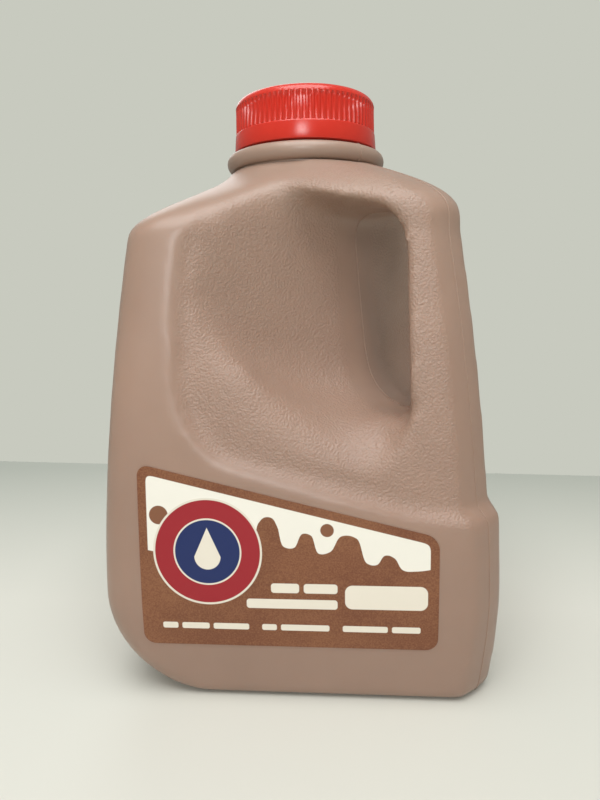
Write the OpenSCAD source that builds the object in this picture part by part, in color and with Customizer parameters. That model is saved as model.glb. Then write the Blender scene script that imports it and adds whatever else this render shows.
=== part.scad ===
// One-quart square milk jug with a corner handle, full of chocolate milk, with its screw cap and label.
// +X is the jug's right side and -Y its front. The handle is at the front right corner, and the jug is
// symmetric about the upright plane through that corner. The origin is at the middle of the base.

/* [Body] */
// Widest width of the square body
body_w = 99.4; // [88:0.2:120]
// Height of the widest part
belly_z = 25; // [22:0.5:32]
// Width of the body where the shoulder starts
shoulder_w = 83.8; // [72:0.2:101]
// Height of the start of the shoulder
shoulder_z = 114; // [108:0.5:137]
// Height of the shoulder
shoulder_h = 21; // [17:0.5:26]
// Radius of the three plain upright corners
corner_r = 7; // [5:0.5:9]
// Radius of the upright corner that carries the handle
grip_r = 12.5; // [10:0.5:15]
// Radius rolled along the bottom edges of the left and back faces
roll_r = 26.5; // [18:0.5:29]
// Radius of the bottom edges of the front and right faces
foot_r = 2.5; // [1.5:0.5:4]
// How far the front and right faces draw in from the belly to the base
foot_draft = 2; // [0:0.2:4]
// Wall thickness
wall = 0.8; // [0.6:0.1:1.2]
// Height of the push-up in the base
push_up = 2.5; // [1.5:0.5:4]

/* [Recess] */
// Depth of the recess in the front and right faces
recess_d = 2.2; // [1:0.2:4]
// Width of the plain strip between the recess and the body's side
strip_w = 20.2; // [17:0.2:26]
// Height of the label panel's top edge at the middle of the face
panel_z = 55; // [48:0.5:60]
// Slope of the panel's top edge, as a rise for each unit of width
panel_slope = 0.25; // [0:0.01:0.3]
// Width of the step between recess and panel
step_w = 4; // [3:0.5:8]

/* [Handle gap] */
// How far the gap's top stands above the start of the shoulder
gap_rise = 7.5; // [4:0.5:8]
// Height of the gap
gap_h = 50.5; // [42:0.5:61]
// Width of the gap at its top
gap_w = 22.5; // [18:0.5:25]
// Thickness of the handle at the middle of the gap, from its corner inwards
handle_t = 11.9; // [10:0.1:15]
// How much wider the gap is on the handle's side at its bottom
handle_lean = 2.5; // [0:0.5:4]
// How far the gap's inner wall leans out from top to bottom
gap_lean = 6; // [2:0.5:8]
// Angle by which the gap's inner wall falls back on each side of the mould seam
gap_draft = 6.3; // [3:0.1:9]
// How far the scoop beside the gap climbs towards the shoulder
scoop_rise = 26; // [0:1:32]
// How far the foot of the scoop's back wall climbs
scoop_lift = 18; // [0:1:24]
// How far the scoop's ramp falls towards the face
scoop_drop = 11; // [0:1:14]

/* [Neck] */
// How far the neck ring stands out past the cap
ring_lip = 1.9; // [1:0.1:3]
// Height of the neck ring
ring_h = 4.6; // [3:0.2:6]
// Outer radius of the finish that the cap screws on
finish_r = 17.6; // [14.6:0.1:21.2]
// Wall thickness of the finish
finish_wall = 1.8; // [1.2:0.1:2.5]

/* [Cap] */
// Thickness of the cap's skirt at its rim
skirt_t = 2.45; // [1.9:0.05:3]
// Height of the cap
cap_h = 14.1; // [12:0.1:17]
// Height of the smooth tamper band under the ribs
band_h = 4.8; // [3:0.1:6]
// Number of grip ribs
rib_n = 80; // [60:1:120]
// Depth of a grip rib
rib_d = 0.35; // [0.2:0.05:0.6]
// Thickness of the cap's top
cap_top = 1.4; // [1:0.1:2]
// Gap between the cap's skirt and the finish
cap_fit = 0.25; // [0.1:0.05:0.4]

/* [Label] */
// Distance of the label's left end from the body's side
label_left = 11.1; // [9:0.1:20]
// Distance of the label's right end from the body's side
label_right = 16.3; // [14:0.1:26]
// Height of the label's bottom edge
label_z = 15; // [12:0.5:24]
// Gap between the label's slanted top edge and the panel's edge
label_gap = 3.6; // [2:0.2:8]
// Corner radius of the label
label_r = 3; // [1.5:0.5:5]
// Thickness of the label
label_t = 0.25; // [0.1:0.05:0.5]

/* [Milk] */
// Height of the milk's surface below the neck's foot
milk_drop = 4; // [1:0.5:16]

/* [Hidden] */
cap_r = finish_r + cap_fit + skirt_t;
ring_r = cap_r + ring_lip;
neck_r = ring_r + 0.4;
bore_r = finish_r - finish_wall;
neck_z = shoulder_z + shoulder_h;
cap_z = neck_z + ring_h + 0.7;
finish_z = cap_z + cap_h - cap_top;
grip_top = shoulder_z + 5;
gap_top = shoulder_z + gap_rise;
gap_z = gap_top - gap_h;
ridge_x = body_w / 2 - strip_w;
ridge_mid = (panel_z + gap_top) / 2;
// The recess ridge bows towards the axis at its ends, and the panel's edge sweeps up to meet it
ridge_bow = 3.8;
sweep_w = 17.5;
sweep_h = 16.4;
// Corner radii of the gap: at the body's top and bottom, then at the handle's top and bottom
gap_rs = [6.5, 8, 6, 3.5];
// Half width of the handle, past which the gap opens into the scoop
handle_half = 12;
// Step between the push-up and the edge of the base
push_edge = 10;
// Crown above the cap's ribs, and how far the ribs stand back from the rim
crown_h = 1.6;
rib_back = 0.5;
shoulder_steps = [0, 0.12, 0.25, 0.37, 0.5, 0.63, 0.75, 0.88, 1];
face_n = 8;
arc_n = 4;
grip_n = 6;
flat_n = 1;
$fn = 40;

function mix(a, b, t) = a + (b - a) * t;
function clamp(v) = min(1, max(0, v));
function ease(t) = clamp(t) * clamp(t) * (3 - 2 * clamp(t));

// All section heights, from the base to the neck's foot
function heights() = concat(
    [0, 1, 3, 7, 12, 18, belly_z, mix(belly_z, panel_z - 13, 0.53)],
    [for (dz = [-13, -10, -7, -3.5, 0, 4, 10]) panel_z + dz],
    [for (u = [0.18, 0.43, 0.71]) mix(panel_z + 10, shoulder_z, u)],
    [for (u = shoulder_steps) shoulder_z + shoulder_h * u]
);
// Share of the shoulder climbed at a height
function climb(z) = clamp((z - shoulder_z) / shoulder_h);
// Half width of the plain body at a height
function half(z) = z < belly_z ? body_w / 2
    : z < shoulder_z
        ? body_w / 2 - (body_w - shoulder_w) / 2 * pow((z - belly_z) / (shoulder_z - belly_z), 1.65)
        : mix(neck_r, shoulder_w / 2, pow(cos(90 * climb(z)), 1.8));
// How far a quarter round of radius r has still to go at a height
function round_in(z, r) = z < r ? r - sqrt(r * r - (r - z) * (r - z)) : 0;
// Half widths of the front and right faces, and of the left and back faces, round a bottom lifted by in
function near_half(z, in = 0) = half(z) - foot_draft * pow(clamp(1 - z / belly_z), 1.5)
    - round_in(z - in, foot_r - in);
function far_half(z, in = 0) = half(z) - round_in(z - in, roll_r - in);
function plain_r(z) = mix(corner_r, neck_r, pow(climb(z), 1.25));

// Top edge of the label panel and the ridge at the recess's outer side, along one face
function panel_top(x) = panel_z - panel_slope * x
    + sweep_h * pow(max(0, 1 - (x + ridge_x) / sweep_w), 3);
function ridge(z) = -ridge_x + ridge_bow * pow((z - ridge_mid) / (gap_top - ridge_mid), 2);
// How far a point of the face lies in the recess: 0 outside it, 1 on its floor
function recessed(x, z) = ease(min((x - ridge(z)) / mix(step_w, 30, ease((z - shoulder_z) / 8)),
    (z - panel_top(x)) / step_w));

// The handle's corner: its share of the climb, its radius and its reach from the axis
function grip_climb(z) = clamp((z - grip_top) / (neck_z - grip_top));
function grip_round(z) = mix(grip_r, neck_r, pow(grip_climb(z), 2));
function grip_face(z, in) = near_half(min(z, grip_top - 4), in) - recess_d * recessed(ridge_x, z);
function grip_reach(z, in) =
    mix(neck_r, (grip_face(z, in) - grip_r) * sqrt(2) + grip_r, cos(90 * grip_climb(z)));
function grip_c(z, in) = (grip_reach(z, in) - grip_round(z)) / sqrt(2);

function arc(cx, cy, r, from, n) =
    [for (i = [0 : n]) let (a = from + 90 * i / n) [cx + r * cos(a), cy + r * sin(a)]];

// A point of the front face at a share t of its width, and its mirror image on the right face
function front_point(t, z, in) = let (
        x = mix(plain_r(z) - far_half(z, in), grip_c(z, in), t),
        plain_y = near_half(z, in), grip_y = grip_c(z, in) + grip_round(z),
        y = mix(mix(plain_y, grip_y, recessed(x, z)), mix(plain_y, grip_y, t), climb(z))
    ) [x, in - y];
function mirrored(p) = [-p[1], -p[0]];

// Outline of the body at a height, moved inwards by the distance in
function outline(z, in) = let (
        r = plain_r(z), a = near_half(z, in), b = far_half(z, in), c = grip_c(z, in), g = grip_round(z),
        front = [for (i = [1 : face_n]) front_point(i / (face_n + 1), z, in)],
        right = [for (i = [face_n : -1 : 1]) mirrored(front_point(i / (face_n + 1), z, in))]
    ) concat(
        arc(c, -c, g - in, -90, grip_n),
        right,
        arc(a - r, b - r, r - in, 0, arc_n),
        [for (i = [1 : flat_n]) [mix(a - r, r - b, i / (flat_n + 1)), b - in]],
        arc(r - b, b - r, r - in, 90, arc_n),
        [for (i = [1 : flat_n]) [in - b, mix(b - r, r - a, i / (flat_n + 1))]],
        arc(r - b, r - a, r - in, 180, arc_n),
        front
    );

// A closed solid through a list of rings, each [height, outline]
module loft(rings) {
    n = len(rings[0][1]);
    last = len(rings) - 1;
    points = [for (ring = rings) for (p = ring[1]) [p[0], p[1], ring[0]]];
    sides = [for (k = [0 : last - 1]) for (i = [0 : n - 1]) let (j = (i + 1) % n)
        each [[k * n + i, (k + 1) * n + i, (k + 1) * n + j], [k * n + i, (k + 1) * n + j, k * n + j]]];
    polyhedron(points, concat(
        [[for (i = [0 : n - 1]) i]], sides, [[for (i = [n - 1 : -1 : 0]) last * n + i]]
    ), convexity = 6);
}

// The body's form up to a height, moved inwards by the distance in
module body_form(in, top) {
    lift = function (z) z + in * ease((z - shoulder_z + 6) / 6);
    zs = [for (z = heights()) if (z > in + 0.1 && z < top - 0.3) z];
    loft([for (z = concat([in], zs, [top])) [z, outline(min(lift(z), neck_z), in)]]);
}

// Distances from the axis to the gap's two sides at its top, and from the plane of symmetry to its ends
function gap_out() = grip_reach(gap_z + gap_h / 2, 0) - handle_t;
function gap_in() = gap_out() - gap_w;
function gap_end() = (sqrt(2) * half(gap_z) - gap_in() - gap_lean) / (1 - tan(gap_draft)) + 0.4;

// A slice of the handle's gap, at a distance n from the plane of symmetry. Past the handle's own width
// the gap opens into a scoop: its top climbs to the shoulder and its bottom becomes a ramp.
module gap_slice(n, grow) {
    out = abs(n);
    back = out * tan(gap_draft);
    flare = pow(min(out, 1.5 * handle_half) / handle_half, 1.5);
    past = max(0, out - handle_half) / (gap_end() - handle_half);
    places = [
        [gap_in() + gap_rs[0] - back, gap_top - gap_rs[0] + scoop_rise * past],
        [gap_in() + gap_lean + gap_rs[1] - back, gap_z + gap_rs[1] + scoop_lift * past * past],
        [gap_out() - gap_rs[2] + flare, gap_top - gap_rs[2]],
        [gap_out() + handle_lean - gap_rs[3] + flare, gap_z + 1.5 + gap_rs[3] - scoop_drop * min(1, 3 * past)]
    ];
    for (i = [0 : 3])
        rotate([0, 0, -45]) translate([places[i][0], n, places[i][1]]) rotate([90, 0, 0])
            cylinder(r = gap_rs[i] + grow, h = 0.02, center = true, $fn = 20);
}

// The handle's gap, which runs right through between the front and the right face
module gap(grow) {
    steps = [-1, -0.72, -0.46, -0.27, -0.1, 0.1, 0.27, 0.46, 0.72, 1];
    for (i = [0 : len(steps) - 2]) hull() {
        gap_slice(gap_end() * steps[i], grow);
        gap_slice(gap_end() * steps[i + 1], grow);
    }
}

// The space inside the wall
module cavity() {
    difference() {
        body_form(wall, neck_z - 1);
        gap(wall);
        base_push(push_up + wall, wall);
    }
}

// The shallow push-up in the base
module base_push(height, grow) {
    mid = (foot_draft - roll_r) / 4;
    side = body_w - roll_r - foot_draft - 2 * push_edge;
    hull() for (s = [[0, 1], [1, 0.8]])
        translate([-mid, mid, s[0] == 0 ? -1 : height - 0.01])
            linear_extrude(s[0] == 0 ? 1 : 0.01) square(side * s[1] + 2 * grow, center = true);
}

// The neck ring and the finish under the cap
module neck() {
    rotate_extrude() polygon(concat(
        [[bore_r, neck_z - 3], [neck_r - 1.6, neck_z - 3], [neck_r, neck_z - 0.01]],
        [for (a = [-60 : 30 : 60]) [ring_r - 1.8 + 1.8 * cos(a), neck_z + ring_h / 2 + ring_h / 2 * sin(a)]],
        [[finish_r, neck_z + ring_h], [finish_r, finish_z], [bore_r, finish_z]]
    ));
}

module bottle() {
    color([0.72, 0.63, 0.56, 0.6]) difference() {
        union() {
            body_form(0, neck_z);
            neck();
        }
        gap(0);
        cavity();
        translate([0, 0, neck_z - 2]) cylinder(r = bore_r, h = cap_h + 20);
        base_push(push_up, 0);
    }
}

module milk() {
    color([0.6, 0.5, 0.43]) intersection() {
        cavity();
        translate([-body_w, -body_w, 0]) cube([2 * body_w, 2 * body_w, neck_z - milk_drop]);
    }
}

// The cap's ribbed outline
function rib_outline(r) = [for (i = [0 : rib_n - 1]) for (s = [[0, 0], [0.3, 0], [0.5, 1], [0.8, 1]])
    let (a = 360 * (i + s[0]) / rib_n, q = r - rib_d * s[1]) [q * cos(a), q * sin(a)]];

module cap() {
    rib_z = cap_z + band_h;
    top_z = cap_z + cap_h;
    core_r = cap_r - rib_back - rib_d - 0.1;
    color([0.86, 0.29, 0.25]) difference() {
        union() {
            rotate_extrude() polygon([
                [0, cap_z], [cap_r, cap_z], [cap_r, cap_z + band_h / 4],
                [cap_r - rib_back + 0.1, rib_z], [0, rib_z]
            ]);
            translate([0, 0, rib_z]) linear_extrude(cap_h - band_h - crown_h)
                polygon(rib_outline(cap_r - rib_back));
            rotate_extrude() polygon([
                [0, top_z - crown_h], [core_r, top_z - crown_h],
                [core_r - 0.3 * crown_h, top_z - 0.4 * crown_h], [core_r - 1.1 * crown_h, top_z], [0, top_z]
            ]);
        }
        translate([0, 0, cap_z - 1]) cylinder(r = finish_r + cap_fit, h = finish_z - cap_z + 1);
    }
}

// A slab that lies on the panel all over the label's height, following the panel's curve
module panel_skin(thickness) {
    side = body_w / 2;
    low = label_z - 1;
    high = label_top(-side);
    table = [for (z = heights()) [z, near_half(z)]];
    zs = concat([low], [for (z = heights()) if (z > low && z < high) z], [high]);
    loft([for (z = zs) let (y = lookup(z, table))
        [z, [[-side, -y - thickness], [side, -y - thickness], [side, -y], [-side, -y]]]]);
}

// The label's outline: square at the bottom, slanted along the top as the panel is
module label_outline() {
    left = label_left - body_w / 2;
    right = body_w / 2 - label_right;
    drop = label_r * (1 + panel_slope);
    hull() for (p = [
        [left + label_r, label_z + label_r], [right - label_r, label_z + label_r],
        [right - label_r, label_top(right) - drop + 2 * label_r * panel_slope],
        [left + label_r, label_top(left) - drop]
    ]) translate(p) circle(label_r, $fn = 24);
}
function label_top(x) = panel_z - label_gap - panel_slope * x;

module label() {
    color([0.52, 0.35, 0.27]) intersection() {
        panel_skin(label_t);
        rotate([90, 0, 0]) linear_extrude(body_w) label_outline();
    }
}

bottle();
milk();
cap();
label();
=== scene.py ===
import bpy
import bmesh
import math
from mathutils import Matrix, Vector


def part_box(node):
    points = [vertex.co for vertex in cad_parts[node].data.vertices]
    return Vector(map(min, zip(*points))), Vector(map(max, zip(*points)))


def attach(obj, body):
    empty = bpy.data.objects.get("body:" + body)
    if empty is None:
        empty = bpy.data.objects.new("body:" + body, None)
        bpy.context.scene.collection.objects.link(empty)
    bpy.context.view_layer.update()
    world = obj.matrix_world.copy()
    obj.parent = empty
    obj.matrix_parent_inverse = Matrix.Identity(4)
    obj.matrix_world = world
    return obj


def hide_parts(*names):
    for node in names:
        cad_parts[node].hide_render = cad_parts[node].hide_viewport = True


# a full one-quart milk jug: blow-moulded bottle, milk, ribbed screw cap and printed label, on a pale table
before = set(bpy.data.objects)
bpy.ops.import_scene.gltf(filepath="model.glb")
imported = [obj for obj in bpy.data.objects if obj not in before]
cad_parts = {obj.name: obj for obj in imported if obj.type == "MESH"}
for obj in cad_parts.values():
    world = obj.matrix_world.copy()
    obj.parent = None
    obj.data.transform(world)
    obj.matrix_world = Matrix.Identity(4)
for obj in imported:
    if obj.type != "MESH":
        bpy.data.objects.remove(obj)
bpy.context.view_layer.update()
bottleLow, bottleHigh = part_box("bottle")
capLow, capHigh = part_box("cap")
labelLow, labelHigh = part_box("label")
milkLow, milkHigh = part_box("milk")
mm = 0.001
tiny = 1e-5  # metres: places nearer than this are the same place
print("frame loaded")


def linear(hexColor):
    # sRGB hex to the linear colour that the shaders take
    values = [int(hexColor[i:i + 2], 16) / 255 for i in (0, 2, 4)]
    return [v / 12.92 if v < 0.04045 else ((v + 0.055) / 1.055) ** 2.4 for v in values] + [1.0]


def addNode(tree, kind, settings=None, links=None):
    # one node, its values and what runs into it
    node = tree.nodes.new(kind)
    for key, value in (settings or {}).items():
        if isinstance(key, int) or key in node.inputs:
            node.inputs[key].default_value = value
        else:
            setattr(node, key, value)
    for key, socket in (links or {}).items():
        tree.links.new(socket, node.inputs[key])
    return node


def newMaterial(name):
    material = bpy.data.materials.new(name)
    material.use_nodes = True
    tree = material.node_tree
    tree.nodes.clear()
    shader = addNode(tree, "ShaderNodeBsdfPrincipled")
    addNode(tree, "ShaderNodeOutputMaterial", {}, {"Surface": shader.outputs[0]})
    return material, tree, shader


def deselectAll():
    if bpy.context.object and bpy.context.object.mode != "OBJECT":
        bpy.ops.object.mode_set(mode="OBJECT")
    bpy.ops.object.select_all(action="DESELECT")


def pick(piece):
    deselectAll()
    bpy.context.view_layer.objects.active = piece
    piece.select_set(True)


def editMesh(piece):
    # goes to edit mode with nothing selected and returns the mesh to select in
    pick(piece)
    bpy.ops.object.mode_set(mode="EDIT")
    bpy.ops.mesh.select_all(action="DESELECT")
    mesh = bmesh.from_edit_mesh(piece.data)
    mesh.verts.ensure_lookup_table()
    return mesh


def selectVerts(piece, test):
    # selects the vertices, and the edges and faces between them, that pass the test
    mesh = bmesh.from_edit_mesh(piece.data)
    bpy.ops.mesh.select_all(action="DESELECT")
    for vert in mesh.verts:
        vert.select = test(vert.co)
    mesh.select_flush(True)
    bmesh.update_edit_mesh(piece.data)


def applyModifier(piece, kind, **settings):
    pick(piece)
    modifier = piece.modifiers.new(kind.lower(), kind)
    for key, value in settings.items():
        setattr(modifier, key, value)
    bpy.ops.object.modifier_apply(modifier=modifier.name)


def settle(piece):
    # puts the piece's place and size into its mesh
    pick(piece)
    bpy.ops.object.transform_apply(location=True, rotation=True, scale=True)


def stackRings(name, profile, sides):
    # a round solid: one circle, extruded and scaled from each (radius, height) to the next
    deselectAll()
    radius, height = profile[0]
    bpy.ops.mesh.primitive_circle_add(
        vertices=sides, radius=radius, fill_type="NGON", location=(0, 0, height))
    piece = bpy.context.object
    piece.name = name
    settle(piece)
    bpy.ops.object.mode_set(mode="EDIT")
    bpy.ops.mesh.select_mode(type="VERT")
    bpy.ops.mesh.select_all(action="SELECT")
    for nextRadius, nextHeight in profile[1:]:
        bpy.ops.mesh.extrude_region_move(TRANSFORM_OT_translate={"value": (0, 0, nextHeight - height)})
        scale = nextRadius / radius
        bpy.ops.transform.resize(value=(scale, scale, 1), center_override=(0, 0, nextHeight))
        radius, height = nextRadius, nextHeight
    bpy.ops.mesh.select_all(action="SELECT")
    bpy.ops.mesh.normals_make_consistent(inside=False)
    bpy.ops.object.mode_set(mode="OBJECT")
    return piece


def mix(a, b, t):
    return a + (b - a) * t


def clamp(value):
    return min(1.0, max(0.0, value))


def ease(t):
    return clamp(t) ** 2 * (3 - 2 * clamp(t))


jug = {
    # millimetres; the shoulder curves in from shoulderZ to the neck
    "width": (bottleHigh.x - bottleLow.x) / mm,  # across the belly
    "bellyZ": 25, "shoulderWidth": 83.8, "shoulderZ": 114, "neckZ": 135, "neckRadius": 21.4,
    "cornerRadius": 7, "gripRadius": 12.5, "rollRadius": 26.5, "footRadius": 2.5, "footDraft": 2,
    "leanPower": 1.65, "domePower": 1.8, "footPower": 1.5,  # how late the sides, shoulder and foot turn in
    "recessDepth": 2.2, "ridgeX": 29.5, "ridgeBow": 3.8,
    "gripFlat": 8.0,  # from the side of the body to the crease where the handle's flat front ends
    "gripRise": 5,  # above the shoulder, where the handle starts to turn in to the neck
    "panelZ": 55, "panelSlope": 0.28, "stepWidth": 2.8, "sweepWidth": 16, "sweepHeight": 15,
    "ridgeFade": (30, 8),  # how wide the ridge's step grows above the shoulder, and over what height
    "stepPower": 2.4, "stepCrisp": 0.6,  # how crisp the recess's upper edge is
    "gapTop": 121.5, "wall": 0.8, "pushUp": 2.5, "pushEdge": 10,
    "voxel": 1.28, "facePoints": 40, "arcPoints": 10, "ringCuts": (13, 11),
    "softenRounds": 5, "scoopRounds": 80,  # rounds of smoothing: the whole skin, then the scoop again
    "creaseAngle": 50,  # degrees; a sharper fold stays a hard edge
}


def halfWidth(z):
    if z < jug["bellyZ"]:
        return jug["width"] / 2
    if z < jug["shoulderZ"]:
        rise = (z - jug["bellyZ"]) / (jug["shoulderZ"] - jug["bellyZ"])
        lean = (jug["width"] - jug["shoulderWidth"]) / 2 * rise ** jug["leanPower"]
        return jug["width"] / 2 - lean
    dome = math.cos(math.pi / 2 * climb(z)) ** jug["domePower"]
    return mix(jug["neckRadius"], jug["shoulderWidth"] / 2, dome)


def climb(z):
    return clamp((z - jug["shoulderZ"]) / (jug["neckZ"] - jug["shoulderZ"]))


def roundIn(z, radius):
    return radius - math.sqrt(radius ** 2 - (radius - max(z, 0)) ** 2) if z < radius else 0


def nearHalf(z):
    # front and right faces
    draft = jug["footDraft"] * clamp(1 - z / jug["bellyZ"]) ** jug["footPower"]
    return halfWidth(z) - draft - roundIn(z, jug["footRadius"])


def farHalf(z):
    # left and back faces, rolled under at the bottom
    return halfWidth(z) - roundIn(z, jug["rollRadius"])


def panelTop(x):
    sweep = max(0, 1 - (x + jug["ridgeX"]) / jug["sweepWidth"]) ** 3
    return jug["panelZ"] - jug["panelSlope"] * x + jug["sweepHeight"] * sweep


def recessed(x, z):
    # 0 outside the front's recess, 1 on its floor, with a crisp upper edge and a soft foot
    middle = (jug["panelZ"] + jug["gapTop"]) / 2
    ridge = -jug["ridgeX"] + jug["ridgeBow"] * ((z - middle) / (jug["gapTop"] - middle)) ** 2
    wide, rise = jug["ridgeFade"]
    across = (x - ridge) / mix(jug["stepWidth"], wide, ease((z - jug["shoulderZ"]) / rise))
    share = clamp(min(across, (z - panelTop(x)) / jug["stepWidth"]))
    return mix(ease(share), 1 - (1 - share) ** jug["stepPower"], jug["stepCrisp"])


def gripClimb(z):
    top = jug["shoulderZ"] + jug["gripRise"]
    return clamp((z - top) / (jug["neckZ"] - top))


def gripRound(z):
    return mix(jug["gripRadius"], jug["neckRadius"], gripClimb(z) ** 2)


def gripCentre(z):
    low = min(z, jug["shoulderZ"] + 1)
    face = nearHalf(low) - jug["recessDepth"] * recessed(jug["ridgeX"], z)
    reach = mix(jug["neckRadius"], (face - jug["gripRadius"]) * math.sqrt(2) + jug["gripRadius"],
                math.cos(math.pi / 2 * gripClimb(z)))
    return (reach - gripRound(z)) / math.sqrt(2)


def gripCrease(z):
    # how far out the handle's front stays flat before it turns round the corner
    return mix(gripCentre(z) + gripRound(z) - jug["gripFlat"], gripCentre(z), gripClimb(z) ** 0.5)


def cornerRound(z):
    return mix(jug["cornerRadius"], jug["neckRadius"], climb(z) ** 1.25)


def frontPoint(t, z):
    # a point of the front face at a share t of its width
    radius = cornerRound(z)
    x = mix(radius - farHalf(z), gripCrease(z), t)
    grip = gripCentre(z) + gripRound(z)
    inRecess = mix(nearHalf(z), grip, recessed(x, z))
    return x, -mix(inRecess, mix(nearHalf(z), grip, t), climb(z))


def gripArc(z, count):
    # the handle's corner: an arc from crease to crease through the corner's outermost point
    face, crease = gripCentre(z) + gripRound(z), gripCrease(z)
    tip = gripCentre(z) + gripRound(z) / math.sqrt(2)
    centre = (2 * tip ** 2 - crease ** 2 - face ** 2) / (4 * tip - 2 * (crease + face))
    radius = (tip - centre) * math.sqrt(2)
    start = math.atan2(centre - face, crease - centre)
    angles = [mix(start, -math.pi / 2 - start, i / count) for i in range(count + 1)]
    return [(centre + radius * math.cos(a), -centre + radius * math.sin(a)) for a in angles]


def arcPoints(cx, cy, radius, start, count):
    angles = [math.radians(start + 90 * i / count) for i in range(count + 1)]
    return [(cx + radius * math.cos(a), cy + radius * math.sin(a)) for a in angles]


def bodyRing(z):
    # the body's outline at a height, counter-clockwise from the handle's corner
    radius, near, far = cornerRound(z), nearHalf(z), farHalf(z)
    count, arcs = jug["facePoints"], jug["arcPoints"]
    front = [frontPoint(i / (count + 1), z) for i in range(1, count + 1)]
    right = [(-y, -x) for x, y in reversed(front)]
    back = [(mix(near - radius, radius - far, i / (count + 1)), far) for i in range(1, count + 1)]
    left = [(-far, mix(far - radius, radius - near, i / (count + 1))) for i in range(1, count + 1)]
    return (gripArc(z, 2 * arcs) + right
            + arcPoints(near - radius, far - radius, radius, 0, arcs) + back
            + arcPoints(radius - far, far - radius, radius, 90, arcs) + left
            + arcPoints(radius - far, radius - near, radius, 180, arcs) + front)


def addBody():
    # a plain cylinder with many rings, each moved to its outline, as no operator turns square into round
    deselectAll()
    sides = len(bodyRing(jug["panelZ"]))
    bpy.ops.mesh.primitive_cylinder_add(vertices=sides, radius=1, depth=1, location=(0, 0, 0.5))
    body = bpy.context.object
    body.name = "bottle"
    settle(body)
    for cuts in jug["ringCuts"]:  # the second splits each space that the first leaves
        mesh = editMesh(body)
        for edge in mesh.edges:
            low, high = sorted(v.co.z for v in edge.verts)
            edge.select = high - low > tiny
        bmesh.update_edit_mesh(body.data)
        bpy.ops.mesh.subdivide(number_cuts=cuts)
    mesh = editMesh(body)
    rings = {}
    for vert in mesh.verts:
        rings.setdefault(round(vert.co.z, 5), []).append(vert)
    for share, ring in rings.items():
        z = jug["neckZ"] * share
        ring.sort(key=lambda vert: math.atan2(vert.co.y, vert.co.x))
        places = bodyRing(max(z, 0.02))
        start = min(range(sides), key=lambda i: math.atan2(places[i][1], places[i][0]))
        for i, vert in enumerate(ring):
            x, y = places[(start + i) % sides]
            vert.co = Vector((x, y, z)) * mm
    bmesh.update_edit_mesh(body.data)
    # the base is pushed up in its middle, so that the jug stands on a rim
    base = [vert.co.copy() for vert in mesh.verts if vert.co.z < tiny]
    centre = sum(base, Vector()) / len(base)
    selectVerts(body, lambda co: co.z < tiny)
    bpy.ops.mesh.extrude_region_move()
    scale = 1 - jug["pushEdge"] * mm / (max(co.x for co in base) - centre.x)
    bpy.ops.transform.resize(value=(scale, scale, 1), center_override=centre)
    bpy.ops.transform.translate(value=(0, 0, jug["pushUp"] * mm))
    bpy.ops.mesh.select_all(action="SELECT")
    bpy.ops.mesh.normals_make_consistent(inside=False)
    bpy.ops.object.mode_set(mode="OBJECT")
    return body


# the handle's gap: at each distance from the mould seam, its corners as (distance from the axis, height)
gap = {
    "radii": (5, 14, 4, 11), "cornerSteps": 8,
    "overlap": 0.2,  # how far each half of the cutter reaches past the seam
    "slices": [
        # distance from the seam, then inner top, inner foot, outer foot and outer top
        (0, (19.4, 121.6), (26.5, 69.6), (45.2, 70.3), (42.8, 121.2)),
        (5, (18.8, 121.9), (25.5, 69.5), (45.3, 70.3), (43.0, 121.3)),
        (10, (18.2, 122.5), (23.6, 69.5), (48.2, 69.8), (45.6, 121.4)),
        (13, (17.9, 123.0), (22.0, 69.5), (51.0, 68.0), (48.8, 121.2)),
        (16, (17.6, 123.6), (20.6, 69.8), (54.5, 63.0), (52.6, 120.6)),
        (20, (17.1, 124.6), (19.2, 70.5), (60.0, 54.0), (60.0, 119.6)),
        (23, (16.7, 126.0), (18.2, 71.4), (60.0, 52.5), (60.0, 119.0)),
        (26, (16.2, 129.5), (17.4, 72.4), (60.0, 51.0), (60.0, 121.0)),
        (29, (15.8, 137.0), (16.8, 73.9), (60.0, 47.5), (60.0, 126.0)),
        (33, (15.2, 147.0), (16.0, 76.0), (60.0, 39.0), (60.0, 124.0)),
        (36, (14.7, 148.0), (15.4, 78.0), (60.0, 26.0), (60.0, 124.0)),
        (39, (14.2, 149.0), (14.8, 80.4), (60.0, 3.0), (60.0, 125.0)),
        (43, (13.6, 150.0), (14.0, 84.0), (60.0, -40.0), (60.0, 126.0)),
        (50, (12.8, 151.0), (13.0, 88.0), (60.0, -60.0), (60.0, 126.0)),
    ],
}
along = Vector((1, 1, 0)).normalized()  # across the mould seam
outward = Vector((1, -1, 0)).normalized()  # from the axis to the handle's corner


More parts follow.
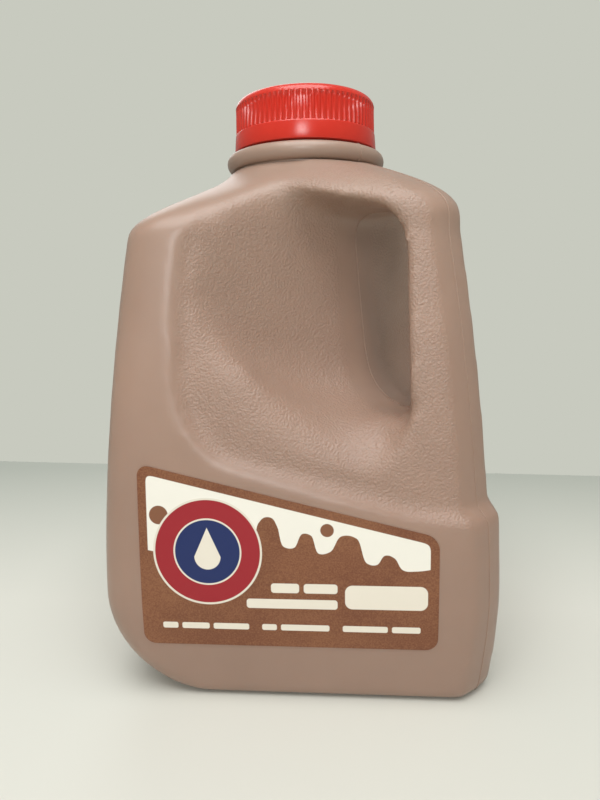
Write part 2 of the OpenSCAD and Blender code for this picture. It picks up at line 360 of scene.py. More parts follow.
def addGapHalf(side):
    # one half of the gap's cutter, from the seam out through a face, one slice extruded from the next
    deselectAll()
    bpy.ops.mesh.primitive_plane_add(size=0.02)
    half = bpy.context.object
    half.name = "gapHalf"
    settle(half)
    corners = [outward * d * mm + Vector((0, 0, z * mm)) for d, z in gap["slices"][0][1:]]
    shift = -side * along * gap["overlap"] * mm
    mesh = editMesh(half)
    order = sorted(mesh.verts, key=lambda vert: math.atan2(vert.co.y, vert.co.x))
    for vert, corner in zip(order, corners):
        vert.co = corner + shift
    bmesh.update_edit_mesh(half.data)
    for corner, radius in zip(corners, gap["radii"]):
        selectVerts(half, lambda co: (co - corner - shift).length < tiny)
        bpy.ops.mesh.bevel(offset=radius * mm, segments=gap["cornerSteps"], affect="VERTICES",
                           clamp_overlap=False)
    bpy.ops.mesh.select_all(action="SELECT")
    reached = 0
    for distance, *places in gap["slices"][1:]:
        step = side * along * (distance - reached) * mm
        bpy.ops.mesh.extrude_region_move(TRANSFORM_OT_translate={"value": step})
        reached = distance
        mesh = bmesh.from_edit_mesh(half.data)
        ring = [vert for vert in mesh.verts if vert.select]
        groups = [[] for corner in corners]
        for vert in ring:
            flat = vert.co - along * vert.co.dot(along)
            nearest = min(range(4), key=lambda i: (flat - corners[i]).length)
            groups[nearest].append(vert)
        for i, (d, z) in enumerate(places):
            target = outward * d * mm + Vector((0, 0, z * mm))
            for vert in groups[i]:
                vert.co += target - corners[i]
            corners[i] = target
        bmesh.update_edit_mesh(half.data)
    bpy.ops.mesh.select_all(action="SELECT")
    bpy.ops.mesh.normals_make_consistent(inside=False)
    bpy.ops.object.mode_set(mode="OBJECT")
    return half


neckBead = {
    "radius": 22.6, "bulge": 1.9, "height": 4.6, "waist": 20.6, "finish": 17.6, "sunk": 3,
    "step": 0.6, "sides": 96,
}


def addNeck():
    # bead under the cap and the plain finish that the cap closes over
    foot, height, bulge = jug["neckZ"], neckBead["height"], neckBead["bulge"]
    bead = [(neckBead["radius"] - bulge + bulge * math.cos(math.radians(a)),
             foot + height / 2 + height / 2 * math.sin(math.radians(a))) for a in range(-80, 81, 20)]
    waist, finish, step = neckBead["waist"], neckBead["finish"], neckBead["step"]
    profile = [(waist, foot - neckBead["sunk"]), (waist, foot)] + bead + [
        (finish + step, foot + height + 0.1), (finish, foot + height + step), (finish, bottleHigh.z / mm)]
    return stackRings("neck", [(r * mm, z * mm) for r, z in profile], neckBead["sides"])


texture = {
    # where the pebbled surface fades out: a height or distance in millimetres, and over how far
    "top": (117, 6), "topSlope": 0.3, "topTurn": -30, "crease": (-0.5, 1.5), "creaseTop": 125,
    "seam": (7, 5), "seamFrom": -38, "front": (8, 4),
}


def foldToFront(co):
    # the jug is a mirror image about its mould seam, so a point of the right face is read off the front
    x, y, z = co / mm
    return (-y, -x, z) if x + y > 0 else (x, y, z)


def fade(value, limit):
    # 0 before a limit, rising to 1 over the limit's own distance
    start, distance = limit
    return ease((value - start) / distance)


def grainAt(co):
    # how pebbled the mould's surface is at a point: the recess on both faces and what opens from it
    x, y, z = foldToFront(co)
    inFace = recessed(x, z)
    belowShoulder = 1 - fade(z - texture["topSlope"] * (x - texture["topTurn"]), texture["top"])
    leftOfGrip = 1 - fade(x - gripCrease(min(z, texture["creaseTop"])), texture["crease"])
    offSeam = fade(-(x + y), texture["seam"]) if y > texture["seamFrom"] else 1
    return inFace * belowShoulder * leftOfGrip * offSeam * fade(-y, texture["front"])


blend = {
    # where the blended part of the scoop begins or ends, in millimetres, and over how far
    "ridge": (4.5, 4), "panel": (7, 4), "handle": (17, 4), "top": (130, 4), "front": (6, 4),
}


def softAt(co):
    # how far the mould blends its surfaces at a point: fully in the scoop beside the gap
    x, y, z = foldToFront(co)
    fromRidge = fade(x + jug["ridgeX"], blend["ridge"])
    fromPanel = fade(z - panelTop(x), blend["panel"])
    fromHandle = 1 - fade(x, blend["handle"])
    return fromRidge * fromPanel * fromHandle * (1 - fade(z, blend["top"])) * fade(-y, blend["front"])


def addBottle():
    body = addBody()
    halves = [addGapHalf(side) for side in (-1, 1)]
    for half in halves:
        applyModifier(body, "BOOLEAN", operation="DIFFERENCE", solver="EXACT", object=half)
        bpy.data.objects.remove(half)
    print("gap cut,", len(body.data.vertices), "vertices")
    applyModifier(body, "REMESH", mode="VOXEL", voxel_size=jug["voxel"] * mm, use_smooth_shade=True)
    applyModifier(body, "SMOOTH", factor=0.5, iterations=jug["softenRounds"])
    scoop = body.vertex_groups.new(name="scoop")
    for vert in body.data.vertices:
        weight = softAt(vert.co)
        if weight > 0:
            scoop.add([vert.index], weight, "REPLACE")
    applyModifier(body, "SMOOTH", factor=0.5, iterations=jug["scoopRounds"], vertex_group="scoop")
    neck = addNeck()
    applyModifier(body, "BOOLEAN", operation="UNION", solver="EXACT", object=neck)
    bpy.data.objects.remove(neck)
    pick(body)
    bpy.ops.object.shade_smooth_by_angle(angle=math.radians(jug["creaseAngle"]))
    print("bottle skin,", len(body.data.polygons), "faces")
    return body


def openMouth(bottle):
    # cuts the mouth open and gives the skin its wall
    editMesh(bottle)
    bpy.ops.mesh.select_all(action="SELECT")
    rim = bottleHigh.z - jug["wall"] * mm
    bpy.ops.mesh.bisect(plane_co=(0, 0, rim), plane_no=(0, 0, 1), clear_outer=True)
    bpy.ops.object.mode_set(mode="OBJECT")
    grain = bottle.data.attributes.new("grain", "FLOAT", "POINT")
    grain.data.foreach_set("value", [grainAt(vert.co) for vert in bottle.data.vertices])
    applyModifier(bottle, "SOLIDIFY", thickness=jug["wall"] * mm, offset=-1)
    return bottle


milkFill = {"into": 0.7, "detail": 0.3}  # share of the wall between skin and milk, and of the faces kept


def addMilk(skin):
    # the milk reaches just into the bottle's wall, up to its level under the neck
    pick(skin)
    bpy.ops.object.duplicate()
    milk = bpy.context.object
    milk.name = "milk"
    applyModifier(milk, "DISPLACE", mid_level=0, strength=-milkFill["into"] * jug["wall"] * mm)
    editMesh(milk)
    bpy.ops.mesh.select_all(action="SELECT")
    level = milkHigh.z
    bpy.ops.mesh.bisect(plane_co=(0, 0, level), plane_no=(0, 0, 1), clear_outer=True, use_fill=True)
    bpy.ops.object.mode_set(mode="OBJECT")
    applyModifier(milk, "DECIMATE", ratio=milkFill["detail"])
    return milk


seamLine = {"radius": 0.16, "foot": 0.5}  # millimetres; the line ends at its foot and under the cap


def addSeam(skin):
    # the thin raised line that the two halves of the mould leave
    pick(skin)
    bpy.ops.object.duplicate()
    seam = bpy.context.object
    seam.name = "mouldSeam"
    editMesh(seam)
    bpy.ops.mesh.select_all(action="SELECT")
    bpy.ops.mesh.bisect(plane_co=(0, 0, 0), plane_no=along, clear_inner=True, clear_outer=True)
    mesh = bmesh.from_edit_mesh(seam.data)
    bpy.ops.mesh.select_all(action="DESELECT")
    for vert in mesh.verts:
        vert.select = vert.co.z > capLow.z or vert.co.z < seamLine["foot"] * mm
    bmesh.update_edit_mesh(seam.data)
    bpy.ops.mesh.delete(type="VERT")
    bpy.ops.object.mode_set(mode="OBJECT")
    bpy.ops.object.convert(target="CURVE")
    seam.data.bevel_depth = seamLine["radius"] * mm
    seam.data.bevel_resolution = 1
    seam.data.use_fill_caps = True
    bpy.ops.object.convert(target="MESH")
    bpy.ops.object.shade_smooth()
    return seam


cap = {
    "radius": (capHigh.x - capLow.x) / 2, "skirt": 2.4 * mm, "top": 1.4 * mm, "crown": 2.6 * mm,
    "band": 4.8 * mm,  # height of the smooth tamper band under the ribs
    "ribs": 80, "ribInset": 0.45 * mm, "ribDepth": 0.38 * mm, "ribLean": 0.1 * mm,
    "sidesPerRib": 6, "groove": (0.4, 0.9),  # the share of a rib's turn that is pushed in
    # the tamper band's outside: (in from the cap's radius, up from its foot), in millimetres
    "bandSteps": [(0.5, 0), (0.1, 0.12), (0, 0.5), (0.12, 2.4), (0.3, 4.45), (0.36, 4.7)],
    "creaseAngle": 50,
}


def addCap():
    base, radius, high = capLow.z, cap["radius"], capHigh.z
    bore, ribFoot = radius - cap["skirt"], base + cap["band"]
    ribRadius, crown = radius - cap["ribInset"], cap["crown"]
    band = [(radius - inset * mm, base + up * mm) for inset, up in cap["bandSteps"]]
    turns = [math.radians(a) for a in range(12, 91, 13)]
    shoulder = [(ribRadius + crown * (math.cos(a) - 1), high + crown * (math.sin(a) - 1)) for a in turns]
    lean = ribRadius - cap["ribLean"]
    ribs = [(ribRadius - 0.15 * mm, ribFoot + 0.05 * mm), (ribRadius, ribFoot + 0.3 * mm),
            (lean, high - crown - 1.2 * mm), (lean, high - crown)]
    middle = [(ribRadius - crown - 2.2 * mm, high - 0.05 * mm)]
    profile = [(bore, high - cap["top"]), (bore, base)] + band + ribs + shoulder + middle
    piece = stackRings("cap", profile, cap["ribs"] * cap["sidesPerRib"])
    editMesh(piece)
    step = 2 * math.pi / cap["ribs"]
    start, end = cap["groove"]

    def inGroove(co):
        turn = (math.atan2(co.y, co.x) / step) % 1
        onRibs = ribFoot + 0.2 * mm < co.z < high - crown + 0.1 * mm
        return onRibs and co.xy.length > bore + 0.5 * mm and start < turn + 1e-4 < end

    selectVerts(piece, inGroove)
    scale = 1 - cap["ribDepth"] / ribRadius
    bpy.ops.transform.resize(value=(scale, scale, 1), center_override=(0, 0, 0))
    bpy.ops.object.mode_set(mode="OBJECT")
    bpy.ops.object.shade_smooth_by_angle(angle=math.radians(cap["creaseAngle"]))
    return piece


label = {
    "thickness": 0.25 * mm, "cornerRadius": 3 * mm,
    "below": 3.6,  # how far its top edge lies under the panel's, in millimetres
    "slope": 0.24, "rows": 24, "creaseAngle": 40,
}


def panelY(z):
    return -nearHalf(z / mm) * mm


def labelTop(x):
    return (jug["panelZ"] - label["below"] - label["slope"] * x / mm) * mm


def addLabel():
    deselectAll()
    bpy.ops.mesh.primitive_plane_add(size=0.01, rotation=(math.pi / 2, 0, 0))
    piece = bpy.context.object
    piece.name = "label"
    settle(piece)
    left, right, low = labelLow.x, labelHigh.x, labelLow.z
    mesh = editMesh(piece)
    for vert in mesh.verts:
        vert.co.x = left if vert.co.x < 0 else right
        vert.co.z = low if vert.co.z < 0 else labelTop(vert.co.x)
        vert.co.y = 0
    bmesh.update_edit_mesh(piece.data)
    bpy.ops.mesh.select_all(action="SELECT")
    bpy.ops.mesh.bevel(offset=label["cornerRadius"], segments=10, affect="VERTICES")
    for row in range(1, label["rows"]):
        z = mix(low, labelHigh.z, row / label["rows"])
        bpy.ops.mesh.select_all(action="SELECT")
        bpy.ops.mesh.bisect(plane_co=(0, 0, z), plane_no=(0, 0, 1))
    mesh = bmesh.from_edit_mesh(piece.data)
    for vert in mesh.verts:
        vert.co.y = panelY(vert.co.z)
    bmesh.update_edit_mesh(piece.data)
    bpy.ops.mesh.select_all(action="SELECT")
    bpy.ops.mesh.normals_make_consistent(inside=False)
    bpy.ops.object.mode_set(mode="OBJECT")
    front = sum(face.normal.y for face in piece.data.polygons) < 0
    applyModifier(piece, "SOLIDIFY", thickness=label["thickness"], offset=1 if front else -1)
    bpy.ops.object.shade_smooth_by_angle(angle=math.radians(label["creaseAngle"]))
    return piece


# the plastic's tones over the milk from the table up to the neck, with painted shade low down and painted
# light up the shoulder, and a little paler at the neck above the milk: (share of the height, colour)
jugToneAndShade = [
    (0.0, "957a6b"), (0.3, "977b6b"), (0.7, "9f8373"), (0.93, "9d8272"), (0.985, "9c8172"), (1.0, "a08778"),
]


def makeJugPlastic():
    # natural high-density polyethylene, blow-moulded and full of chocolate milk: a waxy brown-grey skin,
    # finely pebbled in the recess and smooth elsewhere
    material, tree, shader = newMaterial("naturalPolyethylene")
    place = addNode(tree, "ShaderNodeTexCoord").outputs["Object"]
    axes = addNode(tree, "ShaderNodeSeparateXYZ", {}, {0: place})
    # painted shade and light: by height, the skin's colour runs darker towards the table and lighter up the
    # shoulder
    level = addNode(tree, "ShaderNodeMapRange", {1: 0.0, 2: jug["neckZ"] * mm, 3: 0.0, 4: 1.0},
                    {0: axes.outputs[2]})
    tone = addNode(tree, "ShaderNodeValToRGB", {}, {0: level.outputs[0]})
    ramp = tone.color_ramp
    for position, color in jugToneAndShade[1:-1]:  # between the ramp's own two ends
        ramp.elements.new(position)
    for stop, (position, color) in zip(ramp.elements, jugToneAndShade):
        stop.color = linear(color)
    # clouds about 22 mm across, as the wall varies in thickness
    cloud = addNode(tree, "ShaderNodeTexNoise", {"Scale": 45, "Detail": 3}, {"Vector": place})
    shade = addNode(tree, "ShaderNodeMapRange", {1: 0.3, 2: 0.7, 3: 0.95, 4: 1.05}, {0: cloud.outputs[0]})
    tinted = addNode(tree, "ShaderNodeVectorMath", {"operation": "SCALE"},
                     {0: tone.outputs[0], "Scale": shade.outputs[0]})
    tree.links.new(tinted.outputs[0], shader.inputs["Base Color"])
    # one pebble to 0.57 mm, where the mould's surface has them
    grain = addNode(tree, "ShaderNodeAttribute", {"attribute_name": "grain"})
    pebble = addNode(tree, "ShaderNodeTexNoise", {"Scale": 1750, "Detail": 1.2, "Roughness": 0.4},
                     {"Vector": place})
    depth = addNode(tree, "ShaderNodeMath", {"operation": "MULTIPLY"},
                    {0: grain.outputs["Fac"], 1: pebble.outputs[0]})
    bump = addNode(tree, "ShaderNodeBump", {"Strength": 0.7, "Distance": 0.36 * mm},
                   {"Height": depth.outputs[0]})
    # a slow ripple of about 11 mm over the whole skin
    ripple = addNode(tree, "ShaderNodeTexNoise", {"Scale": 90, "Detail": 1}, {"Vector": place})
    wave = addNode(tree, "ShaderNodeBump", {"Strength": 0.25, "Distance": 0.4 * mm},
                   {"Height": ripple.outputs[0], "Normal": bump.outputs[0]})
    tree.links.new(wave.outputs[0], shader.inputs["Normal"])
    rough = addNode(tree, "ShaderNodeMapRange", {1: 0.0, 2: 1.0, 3: 0.36, 4: 0.42},
                    {0: grain.outputs["Fac"]})
    tree.links.new(rough.outputs[0], shader.inputs["Roughness"])
    shader.inputs["IOR"].default_value = 1.5
    shader.inputs["Subsurface Weight"].default_value = 0.25
    shader.inputs["Subsurface Radius"].default_value = (1.0, 0.55, 0.4)
    shader.inputs["Subsurface Scale"].default_value = 1.2 * mm
    return material


def makeMilk():
    # chocolate milk: opaque, faintly glossy, with a thin swirl of cream
    material, tree, shader = newMaterial("chocolateMilk")
    place = addNode(tree, "ShaderNodeTexCoord").outputs["Object"]
    # swirls about 17 mm across
    swirl = addNode(tree, "ShaderNodeTexNoise", {"Scale": 60, "Detail": 4, "Distortion": 1.2},
                    {"Vector": place})
    tone = addNode(tree, "ShaderNodeMix", {"data_type": "RGBA", 6: linear("8e7365"), 7: linear("9d8376")},
                   {0: swirl.outputs[0]})
    tree.links.new(tone.outputs[2], shader.inputs["Base Color"])
    shader.inputs["Roughness"].default_value = 0.2
    shader.inputs["IOR"].default_value = 1.35
    return material


def makeCapPlastic():
    # red polyethylene, injection moulded: a satin skin with soft window reflections
    material, tree, shader = newMaterial("redPolyethylene")
    place = addNode(tree, "ShaderNodeTexCoord").outputs["Object"]
    # patches about 6 mm across, where the mould's polish varies
    cloud = addNode(tree, "ShaderNodeTexNoise", {"Scale": 160, "Detail": 3}, {"Vector": place})
    tone = addNode(tree, "ShaderNodeMix", {"data_type": "RGBA", 6: linear("c42a1c"), 7: linear("ce3323")},
                   {0: cloud.outputs[0]})
    tree.links.new(tone.outputs[2], shader.inputs["Base Color"])
    # the moulded skin's own grain, drawn coarser than real at 0.67 mm so that it shows
    fine = addNode(tree, "ShaderNodeTexNoise", {"Scale": 1500, "Detail": 2}, {"Vector": place})
    bump = addNode(tree, "ShaderNodeBump", {"Strength": 0.12, "Distance": 0.1 * mm},
                   {"Height": fine.outputs[0]})
    tree.links.new(bump.outputs[0], shader.inputs["Normal"])
    rough = addNode(tree, "ShaderNodeMapRange", {1: 0.3, 2: 0.7, 3: 0.2, 4: 0.27}, {0: cloud.outputs[0]})
    tree.links.new(rough.outputs[0], shader.inputs["Roughness"])
    shader.inputs["IOR"].default_value = 1.5
    shader.inputs["Subsurface Weight"].default_value = 0.15
    shader.inputs["Subsurface Radius"].default_value = (1.0, 0.2, 0.15)
    shader.inputs["Subsurface Scale"].default_value = 0.8 * mm
    return material


printed = {
    "margin": 2.1 * mm, "corner": 2.5 * mm, "edge": 0.06 * mm,
    "cream": "e8e4d9", "plain": "e2dacb", "dropInk": "7d5138",
    # the cream splash's lower edge: (distance along the label, height), in millimetres
    "splash": [
        (-39.2, 40), (-34, 39), (-20, 37), (-10.8, 41), (-9.4, 46.4), (-7, 48), (-4.8, 45.6),
        (-3.4, 40.8), (-1, 40.5), (1.2, 44), (3.2, 43.6), (5, 39.2), (7.6, 39.6), (10.6, 43.6),
        (14, 43), (16.4, 37), (18.6, 36.6), (20.8, 39), (22.8, 38.4), (25, 35.4), (28, 35.2),
        (33.4, 36.2),
    ],
    "drops": [(-33.6, 48.2, 2.3), (7.0, 44.9, 1.6)],  # brown drops in the cream: place and radius
    "disc": (-21.9, 39.2),
    "rings": [(13.3, "ddd5c6"), (12.8, "961c26"), (8.3, "ddd5c6"), (7.9, "14265a")],
    "drop": {"z": 38.0, "radius": 3.2, "height": 7.2},
    # plain bars in rows: left end, right end, bottom, top
    "bars": [
        (-6.6, 0.2, 29.2, 31.6), (1.3, 9.4, 29.2, 31.6), (-12.6, 9.4, 25.2, 27.6),
        (11.2, 30.8, 25.4, 31.4), (-33.6, -29.8, 19.4, 21.0), (-28.8, -22.0, 19.4, 21.0),
        (-21.0, -12.2, 19.4, 21.0), (-9.0, -5.4, 19.4, 21.0), (-4.4, 7.4, 19.4, 21.0),
        (10.6, 21.4, 19.4, 21.0), (22.4, 29.2, 19.4, 21.0),
    ],
    "barRound": 0.3,  # a bar's corner radius as a share of its height
}


def makeLabelFilm():
    # printed polypropylene film: satin, with flat inks and a faint mottle in the brown
    material, tree, shader = newMaterial("printedFilm")
    place = addNode(tree, "ShaderNodeTexCoord").outputs["Object"]
    axes = addNode(tree, "ShaderNodeSeparateXYZ", {}, {0: place})
    x, z = axes.outputs[0], axes.outputs[2]
    # the ink's mottle, drawn coarser than real at 0.38 mm so that it shows, with clouds of 14 mm
    speck = addNode(tree, "ShaderNodeTexNoise", {"Scale": 2600, "Detail": 2}, {"Vector": place})
    cloud = addNode(tree, "ShaderNodeTexNoise", {"Scale": 70, "Detail": 2}, {"Vector": place})
    both = addNode(tree, "ShaderNodeMix", {0: 0.35}, {2: speck.outputs[0], 3: cloud.outputs[0]})
    spread = addNode(tree, "ShaderNodeMapRange", {1: 0.38, 2: 0.62, 3: 0.0, 4: 1.0}, {0: both.outputs[0]})
    color = addNode(tree, "ShaderNodeMix", {"data_type": "RGBA", 6: linear("6e4029"), 7: linear("85573a")},
                    {0: spread.outputs[0]}).outputs[2]
    edge = printed["edge"]

    def paint(below, distance, ink):
        # lays an ink wherever the distance is under zero
        cover = addNode(tree, "ShaderNodeMapRange", {1: edge, 2: -edge, 3: 0.0, 4: 1.0}, {0: distance})
        return addNode(tree, "ShaderNodeMix", {"data_type": "RGBA", 7: linear(ink)},
                       {0: cover.outputs[0], 6: below}).outputs[2]

    # cream splash: under the slanted top edge, inside the margins and above the wavy edge
    left, right, margin = labelLow.x, labelHigh.x, printed["margin"]
    share = addNode(tree, "ShaderNodeMapRange", {1: left, 2: right, 3: 0.0, 4: 1.0}, {0: x})
    wave = addNode(tree, "ShaderNodeFloatCurve", {}, {"Value": share.outputs[0]})
    curve = wave.mapping.curves[0]
    lowest, highest = labelLow.z, labelHigh.z
    for i, (px, pz) in enumerate(printed["splash"]):
        spot = ((px * mm - left) / (right - left), (pz * mm - lowest) / (highest - lowest))
        if i < 2:
            curve.points[i].location = spot
        else:
            curve.points.new(*spot)
    wave.mapping.update()
    waveZ = addNode(tree, "ShaderNodeMapRange", {1: 0.0, 2: 1.0, 3: lowest, 4: highest},
                    {0: wave.outputs[0]})
    under = addNode(tree, "ShaderNodeMath", {"operation": "SUBTRACT"}, {0: waveZ.outputs[0], 1: z})
    slant = addNode(tree, "ShaderNodeMath", {"operation": "MULTIPLY", 1: label["slope"]}, {0: x})
    tilted = addNode(tree, "ShaderNodeMath", {"operation": "ADD"}, {0: slant.outputs[0], 1: z})
    above = addNode(tree, "ShaderNodeMath", {"operation": "SUBTRACT", 1: labelTop(0) - margin},
                    {0: tilted.outputs[0]})
    fromLeft = addNode(tree, "ShaderNodeMath", {"operation": "SUBTRACT", 0: left + margin}, {1: x})
    fromRight = addNode(tree, "ShaderNodeMath", {"operation": "SUBTRACT", 1: right - margin}, {0: x})
    outer = addNode(tree, "ShaderNodeMath", {"operation": "SMOOTH_MAX", 2: printed["corner"]},
                    {0: above.outputs[0], 1: fromLeft.outputs[0]})
    outer = addNode(tree, "ShaderNodeMath", {"operation": "SMOOTH_MAX", 2: printed["corner"]},
                    {0: outer.outputs[0], 1: fromRight.outputs[0]})
    splash = addNode(tree, "ShaderNodeMath", {"operation": "MAXIMUM"},
                     {0: outer.outputs[0], 1: under.outputs[0]})
    color = paint(color, splash.outputs[0], printed["cream"])

    # drops and the round badge: distance from each middle, less the radius
    flat = addNode(tree, "ShaderNodeCombineXYZ", {}, {0: x, 2: z})
    rounds = [(cx, cz, radius, printed["dropInk"]) for cx, cz, radius in printed["drops"]]
    rounds += [(*printed["disc"], radius, ink) for radius, ink in printed["rings"]]
    for cx, cz, radius, ink in rounds:
        middle = addNode(tree, "ShaderNodeCombineXYZ", {0: cx * mm, 2: cz * mm})
        away = addNode(tree, "ShaderNodeVectorMath", {"operation": "DISTANCE"},
                       {0: flat.outputs[0], 1: middle.outputs[0]})
        field = addNode(tree, "ShaderNodeMath", {"operation": "SUBTRACT", 1: radius * mm},
                        {0: away.outputs["Value"]})
        color = paint(color, field.outputs[0], ink)

    # a plain cream drop in the badge: a round foot that narrows evenly to its tip
    drop = printed["drop"]
    dropX = addNode(tree, "ShaderNodeMath", {"operation": "SUBTRACT", 1: printed["disc"][0] * mm}, {0: x})
    dropZ = addNode(tree, "ShaderNodeMath", {"operation": "SUBTRACT", 1: drop["z"] * mm}, {0: z})
    foot = addNode(tree, "ShaderNodeMath", {"operation": "MINIMUM", 1: 0.0}, {0: dropZ.outputs[0]})
    rise = addNode(tree, "ShaderNodeMath", {"operation": "MAXIMUM", 1: 0.0}, {0: dropZ.outputs[0]})
    around = addNode(tree, "ShaderNodeCombineXYZ", {}, {0: dropX.outputs[0], 2: foot.outputs[0]})
    away = addNode(tree, "ShaderNodeVectorMath", {"operation": "LENGTH"}, {0: around.outputs[0]})
    field = addNode(tree, "ShaderNodeMath",
                    {"operation": "MULTIPLY_ADD", 1: drop["radius"] / drop["height"]},
                    {0: rise.outputs[0], 2: away.outputs["Value"]})
    field = addNode(tree, "ShaderNodeMath", {"operation": "SUBTRACT", 1: drop["radius"] * mm},
                    {0: field.outputs[0]})
    color = paint(color, field.outputs[0], printed["plain"])

    # plain bars with rounded corners
    for start, end, low, high in printed["bars"]:
        corner = printed["barRound"] * (high - low)
        middle = addNode(tree, "ShaderNodeCombineXYZ",
                         {0: (start + end) / 2 * mm, 2: (low + high) / 2 * mm})
        away = addNode(tree, "ShaderNodeVectorMath", {"operation": "SUBTRACT"},
                       {0: flat.outputs[0], 1: middle.outputs[0]})
        half = addNode(tree, "ShaderNodeVectorMath", {"operation": "ABSOLUTE"}, {0: away.outputs[0]})
        inner = ((end - start) / 2 - corner) * mm, 0, ((high - low) / 2 - corner) * mm
        past = addNode(tree, "ShaderNodeVectorMath", {"operation": "SUBTRACT", 1: inner},
                       {0: half.outputs[0]})
        past = addNode(tree, "ShaderNodeVectorMath", {"operation": "MAXIMUM", 1: (0, 0, 0)},
                       {0: past.outputs[0]})
        reach = addNode(tree, "ShaderNodeVectorMath", {"operation": "LENGTH"}, {0: past.outputs[0]})
        field = addNode(tree, "ShaderNodeMath", {"operation": "SUBTRACT", 1: corner * mm},
                        {0: reach.outputs["Value"]})
        color = paint(color, field.outputs[0], printed["plain"])

    tree.links.new(color, shader.inputs["Base Color"])
    # the film's ripple, about 4.5 mm from crest to crest
    ripple = addNode(tree, "ShaderNodeTexNoise", {"Scale": 220, "Detail": 1}, {"Vector": place})
    bump = addNode(tree, "ShaderNodeBump", {"Strength": 0.1, "Distance": 0.2 * mm},
                   {"Height": ripple.outputs[0]})
    tree.links.new(bump.outputs[0], shader.inputs["Normal"])
    rough = addNode(tree, "ShaderNodeMapRange", {1: 0.0, 2: 1.0, 3: 0.34, 4: 0.42}, {0: speck.outputs[0]})
    tree.links.new(rough.outputs[0], shader.inputs["Roughness"])
    shader.inputs["IOR"].default_value = 1.42
    return material


stage = {
    "size": 6, "edgeY": 0.161, "edgeTurn": -4,  # the table's side and its far edge, in metres and degrees
    # the last table colour is painted shade for the table's far edge
    "table": "d3d2c9", "tableShade": "cecec5", "tableFarShade": "abafa6",
    "wall": "c8cabf", "sky": "cdd0c8", "skyPower": 0.52,
}


def makeTable():
    # matt laminate: a pale grey-white with a faint cloudiness, and painted shade towards its far edge
    material, tree, shader = newMaterial("paleLaminate")
    place = addNode(tree, "ShaderNodeTexCoord").outputs["Object"]
    # clouds about 170 mm across
    cloud = addNode(tree, "ShaderNodeTexNoise", {"Scale": 6, "Detail": 3}, {"Vector": place})
    light, dim = linear(stage["table"]), linear(stage["tableShade"])
    pale = addNode(tree, "ShaderNodeMix", {"data_type": "RGBA", 6: light, 7: dim}, {0: cloud.outputs[0]})
    # painted shade: towards its far edge the table's colour is darkened, as if it lay in the wall's shade
    axes = addNode(tree, "ShaderNodeSeparateXYZ", {}, {0: place})
    far = addNode(tree, "ShaderNodeMapRange", {1: 0.0, 2: stage["edgeY"], 3: 0.0, 4: 1.0},
                  {0: axes.outputs[1]})
    shaded = addNode(tree, "ShaderNodeMix", {"data_type": "RGBA", 7: linear(stage["tableFarShade"])},
                     {0: far.outputs[0], 6: pale.outputs[2]})
    tree.links.new(shaded.outputs[2], shader.inputs["Base Color"])
    shader.inputs["Roughness"].default_value = 0.6
    return material


lamps = [
    # name, place, aimed at, size across and up, watts
    ("ceiling", (0.0, -0.35, 0.95), (0, -0.05, 0.05), (0.8, 0.8), 9.5),
    ("window", (-0.02, -0.8, 0.4), (0, 0, 0.09), (0.2, 0.32), 2.2),
    ("backFill", (-0.3, 0.9, 0.7), (0, 0, 0.07), (0.6, 0.5), 1.6),
]

view = {
    "place": (11.72, -189.06, 99.69),  # millimetres
    "forward": (-0.07492, 0.98449, -0.15864), "right": (0.99718, 0.07343, -0.01524),
    "lens": 27.9, "sensor": 36, "shift": -0.005, "near": 10 * mm,
}


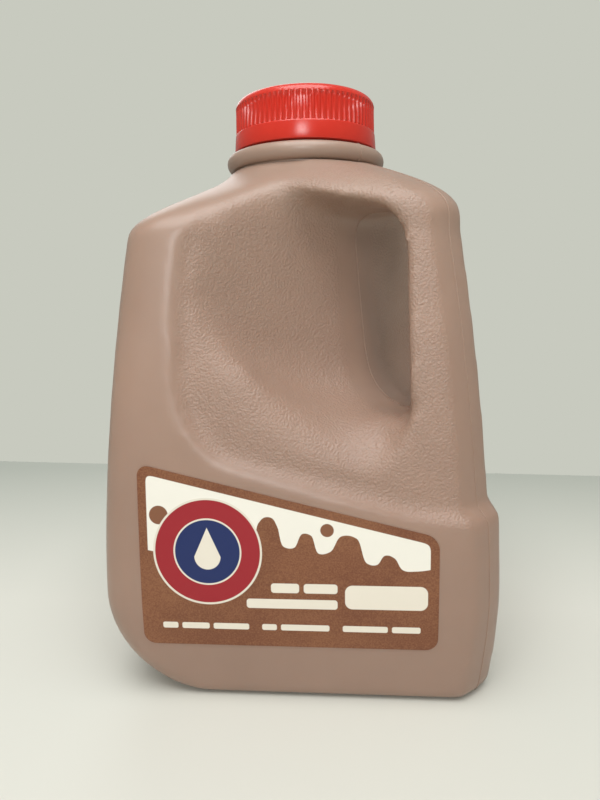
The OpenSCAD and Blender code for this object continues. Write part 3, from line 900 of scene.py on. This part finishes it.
def addLamps():
    for name, place, target, size, watts in lamps:
        data = bpy.data.lights.new(name, "AREA")
        data.shape = "RECTANGLE"
        data.size, data.size_y = size
        data.energy = watts
        lamp = bpy.data.objects.new(name, data)
        bpy.context.scene.collection.objects.link(lamp)
        lamp.location = place
        lamp.rotation_euler = (Vector(target) - Vector(place)).to_track_quat("-Z", "Y").to_euler()
    world = bpy.data.worlds.new("room")
    bpy.context.scene.world = world
    world.use_nodes = True
    # the camera sees the painted wall's colour, and everything else gets the room's dimmer light
    tree = world.node_tree
    tree.nodes.clear()
    room = addNode(tree, "ShaderNodeBackground", {0: linear(stage["sky"]), 1: stage["skyPower"]})
    wall = addNode(tree, "ShaderNodeBackground", {0: linear(stage["wall"]), 1: 1.0})
    ray = addNode(tree, "ShaderNodeLightPath")
    shown = addNode(tree, "ShaderNodeMixShader", {},
                    {0: ray.outputs[0], 1: room.outputs[0], 2: wall.outputs[0]})
    addNode(tree, "ShaderNodeOutputWorld", {}, {0: shown.outputs[0]})


def addCamera():
    data = bpy.data.cameras.new("camera")
    data.lens = view["lens"]
    data.sensor_width = view["sensor"]
    data.shift_y = view["shift"]
    data.clip_start = view["near"]
    camera = bpy.data.objects.new("camera", data)
    bpy.context.scene.collection.objects.link(camera)
    forward = Vector(view["forward"]).normalized()
    right = Vector(view["right"])
    right = (right - forward * right.dot(forward)).normalized()
    turn = Matrix((right, right.cross(forward), -forward)).transposed()
    camera.matrix_world = Matrix.Translation(Vector(view["place"]) * mm) @ turn.to_4x4()
    bpy.context.scene.camera = camera


def addFloor():
    deselectAll()
    half, turn = stage["size"] / 2, math.radians(stage["edgeTurn"])
    middle = Vector((half * math.sin(turn), stage["edgeY"] - half * math.cos(turn), 0))
    bpy.ops.mesh.primitive_plane_add(size=stage["size"], location=middle, rotation=(0, 0, turn))
    floor = bpy.context.object
    floor.name = "tableTop"
    settle(floor)
    floor.data.materials.append(makeTable())


addCamera()
addLamps()
addFloor()
print("camera, lamps and table")

bottle = addBottle()
milk = addMilk(bottle)
seam = addSeam(bottle)
openMouth(bottle)
print("bottle,", len(bottle.data.polygons), "faces; milk,", len(milk.data.polygons), "faces")
lid = addCap()
sticker = addLabel()
print("cap,", len(lid.data.polygons), "faces; label,", len(sticker.data.polygons), "faces")

jugPlastic = makeJugPlastic()
for piece, material, slot, nodes in [
    (bottle, jugPlastic, "jug_plastic", ["bottle"]),
    (seam, jugPlastic, "jug_plastic", []),
    (milk, makeMilk(), "milk", ["milk"]),
    (lid, makeCapPlastic(), "cap_plastic", ["cap"]),
    (sticker, makeLabelFilm(), "label_film", ["label"]),
]:
    piece.data.materials.clear()
    piece.data.materials.append(material)
    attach(piece, "root")
    if nodes:
        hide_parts(*nodes)
print("materials")

bpy.context.scene.view_settings.view_transform = "Standard"
